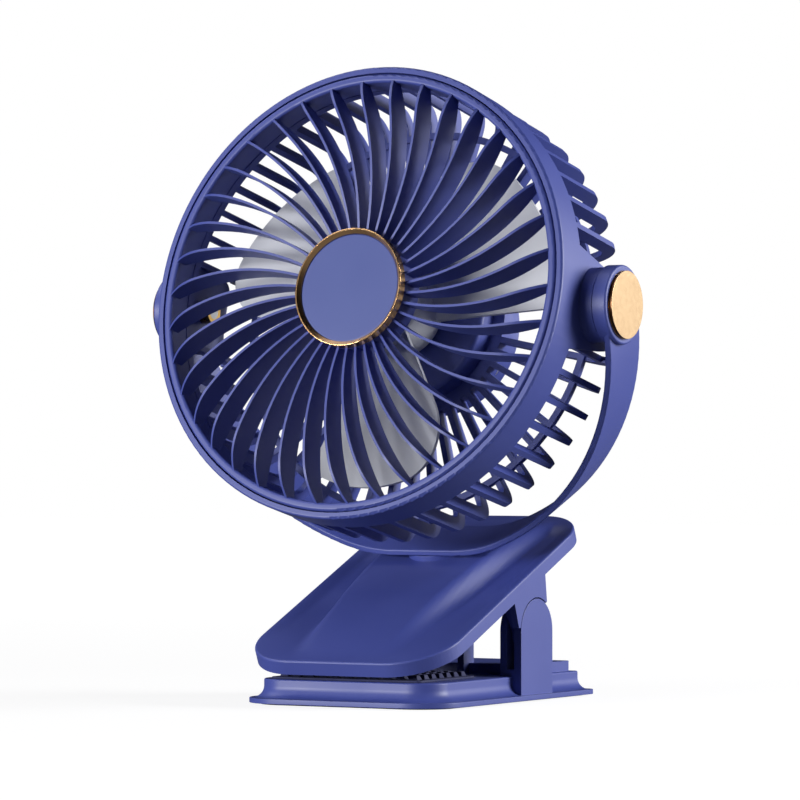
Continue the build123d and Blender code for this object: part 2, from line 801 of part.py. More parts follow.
with BuildPart() as drum_band:
    with BuildSketch(rim_plane.offset(drum_back)):
        Circle(drum_radius)
    extrude(amount=drum_front - drum_back)
    fillet(drum_band.edges().sort_by(Axis.Y)[0], drum_lip_round)
    add(drum_cheeks.part)
    for side in (-1, 1):
        with BuildSketch(Plane(origin=pivot + right * (side * ledge_radius), z_dir=right * side)):
            Circle(pivot_boss_radius)
        extrude(amount=boss_outer - ledge_radius)
    with BuildSketch(rim_plane.offset(cheek_back)):
        Circle(drum_bore)
    extrude(amount=drum_front - cheek_back, mode=Mode.SUBTRACT)
    with BuildSketch(rim_plane.offset(ledge_back)):
        Circle(drum_bore + push_fit)
        Circle(ledge_radius, mode=Mode.SUBTRACT)
    extrude(amount=ledge_front - ledge_back)
    for side in (-1, 1):
        with BuildSketch(Plane(origin=pivot + right * (side * insert_inner_x), z_dir=right * side)):
            Circle(insert_radius + push_fit)
        extrude(amount=insert_length, mode=Mode.SUBTRACT)
        with BuildSketch(Plane(origin=pivot + right * (side * insert_inner_x), z_dir=right * side)):
            Circle(pivot_shank_radius + push_fit)
        extrude(amount=boss_outer - insert_inner_x, mode=Mode.SUBTRACT)
keep(drum_band, "drum_band")

# One rib of the front grille, about the Z axis: a curved strip within a turned envelope
rib_inner_radius = hub_radius - hub_skirt_wall / 2
rib_outer_radius = (rim_inner_radius + rim_outer_radius) / 2
rib_end = acos(
    (hub_radius**2 + 2 * rib_arc_radius**2 - rib_outer_radius**2)
    / (2 * rib_arc_radius * hypot(hub_radius, rib_arc_radius))
) - acos(rib_arc_radius / hypot(hub_radius, rib_arc_radius))
rib_begin = (rib_inner_radius - hub_radius) / rib_arc_radius
rib_depth_room = rib_top_front - rib_mid_back


def rib_point(turn, radius):
    return (hub_radius + radius * sin(turn), rib_arc_radius - radius * cos(turn))


with BuildPart() as rib:
    near_radius = rib_arc_radius - rib_thickness / 2
    far_radius = rib_arc_radius + rib_thickness / 2
    rib_middle = (rib_begin + rib_end) / 2
    with BuildSketch(Plane.XY.offset(-rib_depth_room)):
        with BuildLine():
            near = ThreePointArc(
                rib_point(rib_begin, near_radius),
                rib_point(rib_middle, near_radius),
                rib_point(rib_end, near_radius),
            )
            far = ThreePointArc(
                rib_point(rib_end, far_radius),
                rib_point(rib_middle, far_radius),
                rib_point(rib_begin, far_radius),
            )
            Line(near @ 1, far @ 0)
            Line(far @ 1, near @ 0)
        make_face()
    extrude(amount=2 * rib_depth_room)
    with BuildSketch(Plane.XZ):
        with BuildLine():
            front = ThreePointArc(
                (rib_inner_radius - rib_thickness, rib_hub_front),
                (rib_quarter_radius, rib_quarter_front),
                (rib_top_radius, rib_top_front),
            )
            fall = TangentArc(
                front @ 1, (rib_outer_radius + rib_thickness, rib_rim_front), tangent=front % 1
            )
            back = ThreePointArc(
                (rib_outer_radius + rib_thickness, rib_rim_back),
                (rib_mid_radius, rib_mid_back),
                (rib_inner_radius - rib_thickness, rib_hub_back),
            )
            Line(fall @ 1, back @ 0)
            Line(back @ 1, front @ 0)
        make_face()
    revolve(axis=Axis.Z, mode=Mode.INTERSECT)

# Front grille: rim, hub and the swept ribs between them
with BuildPart(rim_plane) as front_grille:
    with BuildSketch(rim_plane.offset(ledge_front)):
        Circle(rim_outer_radius)
        Circle(rim_inner_radius, mode=Mode.SUBTRACT)
    extrude(amount=rim_front - ledge_front)
    fillet(front_grille.faces().sort_by(fan_axis)[-1].edges(), rim_round)
    with BuildSketch(rim_plane.offset(hub_back)):
        Circle(hub_radius)
    extrude(amount=hub_front - hub_back)
    with BuildSketch(rim_plane.offset(hub_skirt_back)):
        Circle(hub_radius)
        Circle(hub_radius - hub_skirt_wall, mode=Mode.SUBTRACT)
    extrude(amount=hub_back - hub_skirt_back)
    with PolarLocations(0, rib_count, start_angle=rib_start_angle):
        add(rib.part)
keep(front_grille, "front_grille")

# Gold trim ring on the hub, a thin bezel round the sunk badge
trim_inner_radius = hub_radius - trim_wall
with BuildPart() as hub_trim_ring:
    with BuildSketch(rim_plane.offset(hub_front)):
        Circle(hub_radius)
        Circle(trim_inner_radius, mode=Mode.SUBTRACT)
    extrude(amount=trim_front - hub_front)
    chamfer(hub_trim_ring.faces().sort_by(fan_axis)[-1].edges().sort_by(SortBy.LENGTH)[0], trim_bevel)
    fillet(hub_trim_ring.faces().sort_by(fan_axis)[-1].edges().sort_by(SortBy.LENGTH)[-1], trim_round)
keep(hub_trim_ring, "hub_trim_ring")

with BuildPart() as hub_badge:
    with BuildSketch(rim_plane.offset(hub_front)):
        Circle(trim_inner_radius - push_fit)
    extrude(amount=badge_front - hub_front)
    fillet(hub_badge.faces().sort_by(fan_axis)[-1].edges(), badge_round)
keep(hub_badge, "hub_badge")

# One fin of the rear grille, about the Z axis: a bent bar from the drum to the hub ring
with BuildPart() as fin:
    with BuildSketch(Plane.XZ):
        with BuildLine():
            fin_inner = cage_radius - fin_radial
            fin_rear = cage_back + fin_radial
            hub_end = cage_hub_radius - pod_wall
            FilletPolyline(
                (cage_radius, drum_back),
                (cage_radius, cage_back),
                (hub_end, cage_back),
                radius=cage_corner,
            )
            FilletPolyline(
                (fin_inner, drum_back),
                (fin_inner, fin_rear),
                (hub_end, fin_rear),
                radius=cage_corner - fin_radial,
            )
            Line((cage_radius, drum_back), (fin_inner, drum_back))
            Line((hub_end, cage_back), (hub_end, fin_rear))
        make_face()
    extrude(amount=fin_thickness / 2, both=True)

# Rear grille: flange in the drum, fins, a hoop across the back and the hub ring
with BuildPart(rim_plane) as rear_grille:
    with BuildSketch(rim_plane.offset(drum_back - cage_flange_proud)):
        Circle(drum_bore - push_fit)
        Circle(cage_flange_inner, mode=Mode.SUBTRACT)
    extrude(amount=ledge_back - drum_back + cage_flange_proud)
    with BuildSketch(rim_plane.offset(cage_back + fin_radial - hoop_radial / 2)):
        Circle(rear_hoop_radius + hoop_width / 2)
        Circle(rear_hoop_radius - hoop_width / 2, mode=Mode.SUBTRACT)
    extrude(amount=hoop_radial)
    with BuildSketch(rim_plane.offset(cage_back)):
        Circle(cage_hub_radius)
        Circle(pod_radius + push_fit, mode=Mode.SUBTRACT)
    extrude(amount=fin_radial)
    for half in (0, 180):
        first_fin = half + 90 - fin_pitch * (fins_each_side - 1) / 2
        with PolarLocations(0, fins_each_side, first_fin, fin_pitch * fins_each_side):
            add(fin.part)
    with BuildSketch(rim_plane.offset(cheek_back - seat_gap)):
        Circle(drum_radius + seat_gap)
        Circle(drum_bore - seat_gap, mode=Mode.SUBTRACT)
        Rectangle(2 * cage_radius + 2 * seat_gap, 2 * cheek_front_half, mode=Mode.INTERSECT)
    extrude(amount=drum_back - cage_flange_proud - cheek_back + seat_gap, mode=Mode.SUBTRACT)
    screw_circle = (cage_hub_radius + pod_radius) / 2
    with BuildSketch(rim_plane.offset(cage_back)):
        with PolarLocations(screw_circle, pod_screw_count, start_angle=90):
            Circle(pod_screw_radius + push_fit)
    extrude(amount=pod_screw_length, mode=Mode.SUBTRACT)
keep(rear_grille, "rear_grille")

# Motor pod: a cup with its front wall behind the impeller and a flange on the hub ring
with BuildPart() as pod_shell:
    with BuildSketch(rim_plane.offset(pod_back)):
        Circle(pod_radius)
    extrude(amount=pod_front - pod_back)
    fillet(pod_shell.faces().sort_by(fan_axis)[-1].edges(), pod_wall)
    with BuildSketch(rim_plane.offset(cage_back - pod_flange_thickness)):
        Circle(cage_hub_radius)
    extrude(amount=pod_flange_thickness)
    with BuildSketch(rim_plane.offset(pod_back)):
        Circle(pod_radius - pod_wall)
    extrude(amount=motor_front - pod_back, mode=Mode.SUBTRACT)
    with BuildSketch(rim_plane.offset(motor_front)):
        Circle(bearing_radius + seat_gap)
    extrude(amount=pod_wall, mode=Mode.SUBTRACT)
    with BuildSketch(rim_plane.offset(cage_back - pod_flange_thickness)):
        with PolarLocations(screw_circle, pod_screw_count, start_angle=90):
            Circle(pod_screw_radius + push_fit)
    extrude(amount=pod_flange_thickness, mode=Mode.SUBTRACT)
keep(pod_shell, "pod_shell")

with BuildPart() as pod_screws:
    with BuildSketch(rim_plane.offset(cage_back - pod_flange_thickness - pod_screw_head)):
        with PolarLocations(screw_circle, pod_screw_count, start_angle=90):
            Circle(pod_screw_head_radius)
    extrude(amount=pod_screw_head)
    with BuildSketch(rim_plane.offset(cage_back - pod_flange_thickness)):
        with PolarLocations(screw_circle, pod_screw_count, start_angle=90):
            Circle(pod_screw_radius)
    extrude(amount=pod_flange_thickness + pod_screw_length - push_fit)
keep(pod_screws, "pod_screws")

# Rear cover of the pod, with openings for the button, the inlet and the light
with BuildPart() as pod_cover:
    with BuildSketch(rim_plane.offset(cover_back)):
        Circle(pod_radius)
    extrude(amount=cover_thickness)
    fillet(pod_cover.faces().sort_by(fan_axis)[0].edges(), cover_dome)
    with BuildSketch(rim_plane.offset(pod_back)):
        Circle(pod_radius - pod_wall - push_fit)
        Circle(pod_radius - pod_wall - push_fit - cover_spigot_wall, mode=Mode.SUBTRACT)
    extrude(amount=cover_spigot)
    with BuildSketch(rim_plane.offset(cover_back)):
        with Locations((0, button_rise)):
            Circle(button_radius + seat_gap)
        with Locations((0, -socket_drop)):
            SlotOverall(socket_width + 2 * socket_slot_gap, socket_height + 2 * socket_slot_gap)
        with Locations((lens_side, button_rise)):
            Circle(lens_radius + push_fit)
    extrude(amount=cover_thickness, mode=Mode.SUBTRACT)
keep(pod_cover, "pod_cover")

# Motor: a can with a bearing in its front wall, a rotor and the shaft through both
with BuildPart() as motor_can:
    with BuildSketch(rim_plane.offset(motor_back)):
        Circle(motor_radius)
    extrude(amount=motor_length)
    with BuildSketch(rim_plane.offset(motor_back + motor_end_wall)):
        Circle(motor_radius - motor_wall)
    extrude(amount=motor_length - 2 * motor_end_wall, mode=Mode.SUBTRACT)
    with BuildSketch(rim_plane.offset(motor_front - motor_end_wall)):
        Circle(bearing_radius + push_fit)
    extrude(amount=motor_end_wall, mode=Mode.SUBTRACT)
keep(motor_can, "motor_can")

bearing_back = motor_front - motor_end_wall
bearing_front = motor_front + pod_wall
with BuildPart() as motor_bearing:
    with BuildSketch(rim_plane.offset(bearing_back)):
        Circle(bearing_radius)
        Circle(shaft_radius + running_fit, mode=Mode.SUBTRACT)
    extrude(amount=bearing_front - bearing_back)
keep(motor_bearing, "motor_bearing")

rotor_front = bearing_back - rotor_gap
rotor_back = motor_back + motor_end_wall + rotor_gap
with BuildPart() as motor_rotor:
    with BuildSketch(rim_plane.offset(rotor_back)):
        Circle(rotor_radius)
        Circle(shaft_radius + push_fit, mode=Mode.SUBTRACT)
    extrude(amount=rotor_front - rotor_back)
keep(motor_rotor, "motor_rotor")

with BuildPart() as motor_shaft:
    with BuildSketch(rim_plane.offset(rotor_back)):
        Circle(shaft_radius)
    extrude(amount=shaft_front - rotor_back)
keep(motor_shaft, "motor_shaft")

# One impeller blade, about the Z axis: a twisted slab trimmed to a broad rounded petal
blade_middle = impeller_back + blade_behind
with BuildPart() as blade:
    with BuildSketch(Plane.YZ.offset(impeller_hub_radius / 2)):
        with Locations((0, blade_middle)):
            Rectangle(blade_root_chord, blade_thickness, rotation=blade_root_pitch)
    with BuildSketch(Plane.YZ.offset(impeller_tip_radius)):
        with Locations((0, blade_middle)):
            Rectangle(blade_tip_chord, blade_thickness, rotation=blade_tip_pitch)
    loft()
    with BuildSketch(Plane.XY.offset(2 * impeller_back)) as petal:
        edge_reach = impeller_tip_radius / cos(radians(blade_edge_half_angle))
        with BuildLine():
            Polyline(
                (impeller_hub_radius / 2, -blade_root_half),
                (impeller_tip_radius, -impeller_tip_radius * tan(radians(blade_edge_half_angle))),
                (edge_reach, 0),
                (impeller_tip_radius, impeller_tip_radius * tan(radians(blade_edge_half_angle))),
                (impeller_hub_radius / 2, blade_root_half),
                close=True,
            )
        make_face()
        Circle(impeller_tip_radius, mode=Mode.INTERSECT)
        trail_corner, lead_corner = petal.vertices().sort_by(Axis.X)[-2:].sort_by(Axis.Y)
        fillet(lead_corner, blade_lead_radius)
        fillet(trail_corner, blade_trail_radius)
    extrude(amount=-4 * impeller_back, mode=Mode.INTERSECT)

with BuildPart(rim_plane) as impeller:
    with BuildSketch(rim_plane.offset(impeller_back)):
        Circle(impeller_hub_radius)
    extrude(amount=impeller_front - impeller_back)
    fillet(impeller.faces().sort_by(fan_axis)[-1].edges(), impeller_hub_round)
    with PolarLocations(0, blade_count, start_angle=blade_start_angle):
        add(blade.part)
    with BuildSketch(rim_plane.offset(impeller_back)):
        Circle(impeller_hub_radius - impeller_hub_wall)
        Circle(2 * bearing_radius, mode=Mode.SUBTRACT)
    extrude(amount=impeller_front - impeller_back - 2 * impeller_hub_wall, mode=Mode.SUBTRACT)
    with BuildSketch(rim_plane.offset(impeller_back)):
        Circle(shaft_radius + push_fit)
    extrude(amount=impeller_front - impeller_back, mode=Mode.SUBTRACT)
keep(impeller, "impeller")

with BuildPart() as impeller_nut:
    with BuildSketch(rim_plane.offset(impeller_front)):
        RegularPolygon(nut_radius, 6)
    extrude(amount=nut_front - impeller_front)
    fillet(impeller_nut.faces().sort_by(fan_axis)[-1].edges(), nut_round)
    with BuildSketch(rim_plane.offset(impeller_front)):
        Circle(shaft_radius + push_fit)
    extrude(amount=shaft_front + push_fit - impeller_front, mode=Mode.SUBTRACT)
keep(impeller_nut, "impeller_nut")

# Battery cell and circuit board behind the motor
with BuildPart() as battery_cell:
    with BuildSketch(rim_plane.offset(cell_front - cell_thickness)):
        RectangleRounded(cell_width, cell_height, cell_round)
    extrude(amount=cell_thickness)
keep(battery_cell, "battery_cell")

with BuildPart() as circuit_board:
    with BuildSketch(rim_plane.offset(board_back)):
        RectangleRounded(board_width, board_height, board_corner)
    extrude(amount=board_thickness)
keep(circuit_board, "circuit_board")

# Charging inlet: a rounded shell with a contact tongue, on the board and open to the rear
with BuildPart() as usb_socket:
    with BuildSketch(rim_plane.offset(cover_back)):
        with Locations((0, -socket_drop)):
            SlotOverall(socket_width, socket_height)
    extrude(amount=board_back - cover_back)
    with BuildSketch(rim_plane.offset(cover_back)):
        with Locations((0, -socket_drop)):
            SlotOverall(socket_width - 2 * socket_wall, socket_height - 2 * socket_wall)
    extrude(amount=board_back - cover_back - socket_floor, mode=Mode.SUBTRACT)
    with BuildSketch(rim_plane.offset(board_back - socket_floor)):
        with Locations((0, -socket_drop)):
            Rectangle(socket_tongue_width, socket_tongue_thickness)
    extrude(amount=-socket_tongue_length)
keep(usb_socket, "usb_socket")

# Power button: a cap in the cover, held from inside by its flange
with BuildPart() as power_button:
    with BuildSketch(rim_plane.offset(cover_back - button_proud)):
        with Locations((0, button_rise)):
            Circle(button_radius)
    extrude(amount=button_proud + cover_thickness + seat_gap + button_flange)
    fillet(power_button.faces().sort_by(fan_axis)[0].edges(), button_round)
    with BuildSketch(rim_plane.offset(pod_back + seat_gap)):
        with Locations((0, button_rise)):
            Circle(button_flange_radius)
    extrude(amount=button_flange)
    with BuildSketch(rim_plane.offset(pod_back + seat_gap + button_flange)):
        with Locations((0, button_rise)):
            Circle(button_stem_radius)
    extrude(amount=board_back - button_travel - seat_gap - pod_back - seat_gap - button_flange)
keep(power_button, "power_button")

# Indicator lens beside the button
with BuildPart() as indicator_lens:
    with BuildSketch(rim_plane.offset(cover_back)):
        with Locations((lens_side, button_rise)):
            Circle(lens_radius)
    extrude(amount=cover_thickness)
    with BuildSketch(rim_plane.offset(pod_back)):
        with Locations((lens_side, button_rise)):
            Circle(lens_flange_radius)
    extrude(amount=lens_flange)
keep(indicator_lens, "indicator_lens")

print(f"tilt axis at y {pivot.Y:.2f}, z {pivot.Z:.2f}; neck foot y {neck_foot.Y:.2f}, z {neck_foot.Z:.2f}")
print(f"rim centre y {rim_centre.Y:.2f}, z {rim_centre.Z:.2f}; crown at neck {crown_at(neck_v):.2f}")
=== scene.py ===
from math import cos, radians, sin

import bpy
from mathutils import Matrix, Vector


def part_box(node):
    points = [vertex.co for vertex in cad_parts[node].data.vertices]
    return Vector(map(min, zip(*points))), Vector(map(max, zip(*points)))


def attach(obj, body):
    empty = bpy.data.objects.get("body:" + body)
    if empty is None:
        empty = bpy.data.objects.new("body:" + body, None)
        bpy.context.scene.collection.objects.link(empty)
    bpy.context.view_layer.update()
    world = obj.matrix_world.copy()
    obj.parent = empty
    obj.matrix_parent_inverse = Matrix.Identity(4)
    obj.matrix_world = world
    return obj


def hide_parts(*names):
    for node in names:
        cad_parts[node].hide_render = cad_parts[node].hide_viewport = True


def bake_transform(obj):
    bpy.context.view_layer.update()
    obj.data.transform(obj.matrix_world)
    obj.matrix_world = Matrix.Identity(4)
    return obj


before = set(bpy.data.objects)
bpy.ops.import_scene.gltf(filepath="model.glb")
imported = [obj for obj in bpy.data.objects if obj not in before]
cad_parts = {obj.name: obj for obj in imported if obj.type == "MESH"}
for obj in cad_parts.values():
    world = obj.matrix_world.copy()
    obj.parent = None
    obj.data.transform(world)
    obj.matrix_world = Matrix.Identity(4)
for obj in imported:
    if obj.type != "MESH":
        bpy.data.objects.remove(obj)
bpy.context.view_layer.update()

scene = bpy.context.scene
mm = 0.001
merge_gap = 0.002 * mm
flat_below = radians(0.4)
smooth_below = radians(40)


# Working on one piece at a time
def deselect():
    if bpy.context.object and bpy.context.object.mode != "OBJECT":
        bpy.ops.object.mode_set(mode="OBJECT")
    bpy.ops.object.select_all(action="DESELECT")


def take_up(piece):
    """Makes a piece the only selected and active one."""
    deselect()
    piece.select_set(True)
    bpy.context.view_layer.objects.active = piece


def modifier(piece, kind, **settings):
    """Adds a modifier and applies it."""
    take_up(piece)
    made = piece.modifiers.new(kind.lower(), kind)
    for name, value in settings.items():
        setattr(made, name, value)
    bpy.ops.object.modifier_apply(modifier=made.name)


def clean_copy(node, name):
    """A copy of a CAD node with its triangles merged into whole faces, for edge work."""
    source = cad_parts[node]
    piece = bpy.data.objects.new(name, source.data.copy())
    scene.collection.objects.link(piece)
    take_up(piece)
    bpy.ops.object.mode_set(mode="EDIT")
    bpy.ops.mesh.select_all(action="SELECT")
    bpy.ops.mesh.remove_doubles(threshold=merge_gap)
    bpy.ops.mesh.dissolve_limited(angle_limit=flat_below)
    bpy.ops.object.mode_set(mode="OBJECT")
    if piece.data.has_custom_normals:
        bpy.ops.mesh.customdata_custom_splitnormals_clear()
    return piece


def round_edges(piece, width, sharper_than, segments=2):
    """Rounds the edges that turn by more than an angle in degrees."""
    modifier(
        piece,
        "BEVEL",
        width=width,
        segments=segments,
        limit_method="ANGLE",
        angle_limit=radians(sharper_than),
        use_clamp_overlap=True,
        miter_outer="MITER_ARC",
    )


def settle(piece, body, nodes, finish):
    """Shades a finished piece, gives it its material and joins it to its body."""
    take_up(piece)
    bpy.ops.object.shade_smooth_by_angle(angle=smooth_below)
    modifier(piece, "WEIGHTED_NORMAL", mode="FACE_AREA", weight=50, keep_sharp=True)
    piece.data.materials.clear()
    piece.data.materials.append(finish)
    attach(piece, body)
    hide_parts(*nodes)


# Finishes
def shader(name):
    finish = bpy.data.materials.new(name)
    finish.use_nodes = True
    tree = finish.node_tree
    return finish, tree, tree.nodes["Principled BSDF"]


def node(tree, kind, inputs=None, **settings):
    made = tree.nodes.new(kind)
    for name, value in settings.items():
        setattr(made, name, value)
    for socket, value in (inputs or {}).items():
        if isinstance(value, bpy.types.NodeSocket):
            tree.links.new(value, made.inputs[socket])
        else:
            made.inputs[socket].default_value = value
    return made


def place(tree):
    return node(tree, "ShaderNodeTexCoord").outputs["Object"]


def linear(red, green, blue):
    """A colour written in screen values from 0 to 255."""
    channels = []
    for value in (red, green, blue):
        value = value / 255
        channels.append(value / 12.92 if value <= 0.04045 else ((value + 0.055) / 1.055) ** 2.4)
    return (*channels, 1.0)


def blend_colours(tree, pattern, low, high):
    """Mixes two colours by a pattern, through the colour sockets of the mix node."""
    mix = node(tree, "ShaderNodeMix", data_type="RGBA")
    mix.inputs[6].default_value = low
    mix.inputs[7].default_value = high
    tree.links.new(pattern, mix.inputs[0])
    return mix.outputs[2]


def spread(tree, pattern, low, high, start=0.0, end=1.0):
    """Maps a pattern onto a range of values."""
    return node(
        tree,
        "ShaderNodeMapRange",
        {"Value": pattern, "From Min": start, "From Max": end, "To Min": low, "To Max": high},
    ).outputs["Result"]


def noise(tree, where, scale, detail, roughness=0.5):
    """A cloudy pattern between nought and one, finer with a larger scale."""
    inputs = {"Vector": where, "Scale": scale, "Detail": detail, "Roughness": roughness}
    return node(tree, "ShaderNodeTexNoise", inputs).outputs["Fac"]


def vary(tree, skin, pattern, colours, roughness):
    """Lets a noise pattern, most of it between 0.3 and 0.7, vary a finish's colour and roughness."""
    tree.links.new(blend_colours(tree, pattern, *colours), skin.inputs["Base Color"])
    tree.links.new(spread(tree, pattern, *roughness, start=0.3, end=0.7), skin.inputs["Roughness"])


def grain_bump(tree, skin, pattern, strength, depth):
    bump = node(tree, "ShaderNodeBump", {"Strength": strength, "Distance": depth, "Height": pattern})
    tree.links.new(bump.outputs["Normal"], skin.inputs["Normal"])


def seen_rays(tree):
    """One for rays from the camera, a reflection or through glass, and nought for the rest."""
    path = tree.nodes.new("ShaderNodeLightPath")
    pair = node(
        tree,
        "ShaderNodeMath",
        {0: path.outputs["Is Camera Ray"], 1: path.outputs["Is Glossy Ray"]},
        operation="MAXIMUM",
    )
    every = node(
        tree,
        "ShaderNodeMath",
        {0: pair.outputs[0], 1: path.outputs["Is Transmission Ray"]},
        operation="MAXIMUM",
    )
    return every.outputs[0]


def moulded_plastic(name, low, high, rough_low, rough_high, grain=0.25):
    """Satin moulded plastic: a fine sand texture from the mould and faint flow marks."""
    finish, tree, skin = shader(name)
    where = place(tree)
    flow = noise(tree, where, scale=38.0, detail=3.0)
    sand = noise(tree, where, scale=2600.0, detail=2.0, roughness=0.6)
    vary(tree, skin, flow, (low, high), (rough_low, rough_high))
    grain_bump(tree, skin, sand, grain, 0.05 * mm)
    return finish


def polished_gold(name, low, high):
    """Plated trim: fine turning lines under a polish."""
    finish, tree, skin = shader(name)
    lines = noise(tree, place(tree), scale=700.0, detail=2.0)
    vary(tree, skin, lines, (low, high), (0.22, 0.27))
    skin.inputs["Metallic"].default_value = 1.0
    grain_bump(tree, skin, lines, 0.03, 0.004 * mm)
    return finish


def bare_metal(name, low, high, rough_low, rough_high):
    """Metal with faint handling marks."""
    finish, tree, skin = shader(name)
    marks = noise(tree, place(tree), scale=420.0, detail=4.0, roughness=0.65)
    vary(tree, skin, marks, (low, high), (rough_low, rough_high))
    skin.inputs["Metallic"].default_value = 1.0
    grain_bump(tree, skin, marks, 0.1, 0.02 * mm)
    return finish


def soft_rubber(name, low, high):
    """Matt rubber with pores and a little dust."""
    finish, tree, skin = shader(name)
    where = place(tree)
    dust = noise(tree, where, scale=90.0, detail=5.0, roughness=0.6)
    pores = noise(tree, where, scale=1800.0, detail=2.0)
    vary(tree, skin, dust, (low, high), (0.7, 0.9))
    grain_bump(tree, skin, pores, 0.4, 0.06 * mm)
    return finish


body_blue = moulded_plastic("satin_blue", linear(62, 73, 147), linear(68, 80, 155), 0.42, 0.50)
badge_blue = moulded_plastic("badge_blue", linear(60, 75, 144), linear(65, 81, 150), 0.40, 0.46, 0.12)
blade_grey = moulded_plastic("blade_grey", linear(198, 200, 206), linear(206, 208, 214), 0.40, 0.48, 0.12)
pad_rubber = soft_rubber("pad_rubber", linear(30, 34, 74), linear(38, 42, 84))
gold_trim = polished_gold("warm_gold", linear(226, 178, 124), linear(234, 190, 140))
pale_gold = polished_gold("pale_gold", linear(204, 170, 128), linear(212, 182, 142))
# Painted shade: a dark bronze laid on the pivot caps' sides, standing in for the shade and dark reflection
# round their undercut
painted_shade_bronze = bare_metal("painted_shade_bronze", linear(66, 42, 26), linear(84, 54, 34), 0.3, 0.4)
bright_zinc = bare_metal("bright_zinc", linear(176, 178, 182), linear(196, 198, 202), 0.26, 0.38)
spring_wire = bare_metal("spring_wire", linear(150, 152, 156), linear(172, 174, 178), 0.25, 0.35)
turned_brass = bare_metal("turned_brass", linear(206, 165, 90), linear(222, 182, 105), 0.26, 0.36)
motor_steel = bare_metal("motor_steel", linear(150, 152, 155), linear(170, 171, 174), 0.32, 0.45)
cell_foil = bare_metal("cell_foil", linear(196, 198, 202), linear(214, 216, 220), 0.3, 0.42)
board_green = moulded_plastic("board_green", linear(18, 84, 44), linear(26, 100, 54), 0.3, 0.4)
lens_frost = moulded_plastic("lens_frost", linear(226, 230, 236), linear(234, 238, 244), 0.35, 0.45, 0.1)
nylon = moulded_plastic("natural_nylon", linear(214, 212, 204), linear(224, 222, 214), 0.45, 0.55)

# Pieces shaped in CAD: each keeps its form and gets moulded edges. A row holds the node, its body, its
# finish, the edge's width in millimetres and the angle in degrees from which an edge is rounded
moulded = [
    ("base_shell", "base", body_blue, 0.35, 30),
    ("lower_grip_pad", "base", pad_rubber, 0.25, 30),
    ("anti_slip_pad", "base", pad_rubber, 0.3, 30),
    ("upper_grip_pad", "jaw", pad_rubber, 0.25, 30),
    ("swivel_collar", "jaw", body_blue, 0.3, 30),
    ("yoke_band", "yoke", body_blue, 0.3, 40),
    ("drum_band", "head", body_blue, 0.35, 35),
    ("front_grille", "head", body_blue, 0.2, 40),
    ("rear_grille", "head", body_blue, 0.3, 40),
    ("pod_shell", "head", body_blue, 0.3, 35),
    ("pod_cover", "head", body_blue, 0.3, 35),
    ("hub_badge", "head", badge_blue, 0.15, 35),
    ("hub_trim_ring", "head", gold_trim, 0.2, 35),
    ("impeller", "impeller", blade_grey, 0.35, 35),
    ("impeller_nut", "impeller", blade_grey, 0.2, 35),
    ("power_button", "button", body_blue, 0.25, 35),
    ("usb_socket", "head", bright_zinc, 0.08, 35),
    ("swivel_screw", "yoke", bright_zinc, 0.15, 35),
    ("swivel_washer", "yoke", bright_zinc, 0.15, 35),
    ("pod_screws", "head", bright_zinc, 0.15, 35),
    ("hinge_pin_left", "base", bright_zinc, 0.2, 35),
    ("hinge_pin_right", "base", bright_zinc, 0.2, 35),
    ("spring_arbor", "base", bright_zinc, 0.2, 35),
]
for name, body, finish, edge, sharp in moulded:
    piece = clean_copy(name, name + "_moulded")
    round_edges(piece, edge * mm, sharp)
    settle(piece, body, [name], finish)


# Upper jaw: its crown melts into the plate, with a shallow valley between crown and rim on each side.
# Its sizes are in millimetres, across the jaw, up its slope from the hinge and over the rim's plane
jaw_slope = radians(23.25)
hinge_y, hinge_z = 14.3, 23.6
jaw_rise = 20.3
jaw_normal = Vector((0, -sin(jaw_slope), cos(jaw_slope)))
jaw_up = Vector((0, cos(jaw_slope), sin(jaw_slope)))
jaw_middle = Vector((0, hinge_y, hinge_z)) + jaw_rise * jaw_normal
jaw_half_width, jaw_front, jaw_rear = 38.6, -68.8, 51.0
jaw_front_radius, jaw_rear_radius = 20.0, 17.0
jaw_lip = 0.75
jaw_edge = 0.3
crown_height, crown_front, crown_rear = 5.1, -62.5, 46.5
crown_softness = 0.5
flank_middle, flank_taper, flank_half = 23.0, 0.095, 2.8
valley_depth, valley_rise = 1.2, 6.0
valley_front_start, valley_front_end = -58.0, -15.0
valley_rear_start, valley_rear_end = 6.0, 16.0
jaw_wall, hollow_margin = 1.8, 5.0
neck_place, collar_radius, collar_gap = 11.4, 10.8, 0.3
facing_up, rim_slack = 0.3, 0.1
grid_step = 1.2


def ease(value, start, end):
    """Nought before the start, one after the end and smooth between them."""
    share = min(max((value - start) / (end - start), 0.0), 1.0)
    return share * share * (3 - 2 * share)


def crown_line(up_slope):
    """Height of the crown along the middle of the jaw, run out softly at both ends."""
    half_chord = (crown_rear - crown_front) / 2
    arc_radius = (half_chord**2 + crown_height**2) / (2 * crown_height)
    reach = min(abs(up_slope - (crown_rear + crown_front) / 2), arc_radius)
    height = crown_height - arc_radius + (arc_radius**2 - reach**2) ** 0.5
    return (height + (height**2 + crown_softness**2) ** 0.5) / 2


def in_from_edge(across, up_slope):
    """How far a place on the jaw lies in from its outline, whose corners are round."""
    corner = jaw_front_radius if up_slope < 0 else jaw_rear_radius
    past_side = abs(across) - jaw_half_width + corner
    past_end = max(jaw_front - up_slope, up_slope - jaw_rear) + corner
    if past_side > 0 and past_end > 0:
        return corner - (past_side**2 + past_end**2) ** 0.5
    return corner - max(past_side, past_end)


